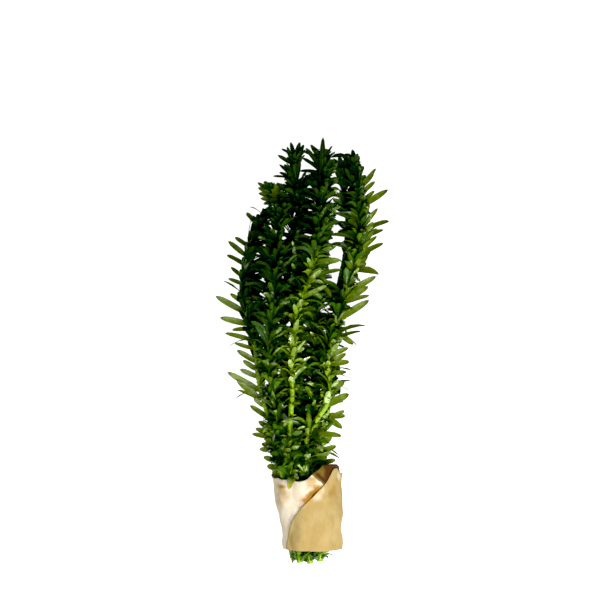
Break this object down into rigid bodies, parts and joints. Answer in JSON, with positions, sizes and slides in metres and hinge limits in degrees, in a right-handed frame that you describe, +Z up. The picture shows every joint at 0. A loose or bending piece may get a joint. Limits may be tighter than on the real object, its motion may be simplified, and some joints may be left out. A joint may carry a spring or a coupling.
{
  "type": "brazilian waterweed bunch",
  "caption": "Bunch of cut Brazilian waterweed shoots with whorled leaves, its foot wrapped in kraft paper, lying on its side.",
  "frame": {"origin": "centre of the bunch's box, on the surface that it lies on", "axes": "+Y along the shoots towards their tips, +Z up from the surface and towards the side that the picture shows, +X to the picture's right"},
  "size_m": [0.1199, 0.298, 0.0512],
  "materials": {
    "leaf": "wet, glossy, dark green to yellow green",
    "stem": "smooth, wet, bright yellow green",
    "paper": "matt kraft paper, light brown, creased"
  },
  "bodies": {
    "root": {"paper_wrap": "paper", "stem_left": "stem", "leaves_left": "leaf", "stem_front_left": "stem", "leaves_front_left": "leaf", "stem_bent": "stem", "leaves_bent": "leaf", "stem_upper_left": "stem", "leaves_upper_left": "leaf", "stem_centre": "stem", "leaves_centre": "leaf", "stem_back_centre": "stem", "leaves_back_centre": "leaf", "stem_right": "stem", "leaves_right": "leaf", "stem_back_right": "stem", "leaves_back_right": "leaf"}
  },
  "joints": []
}
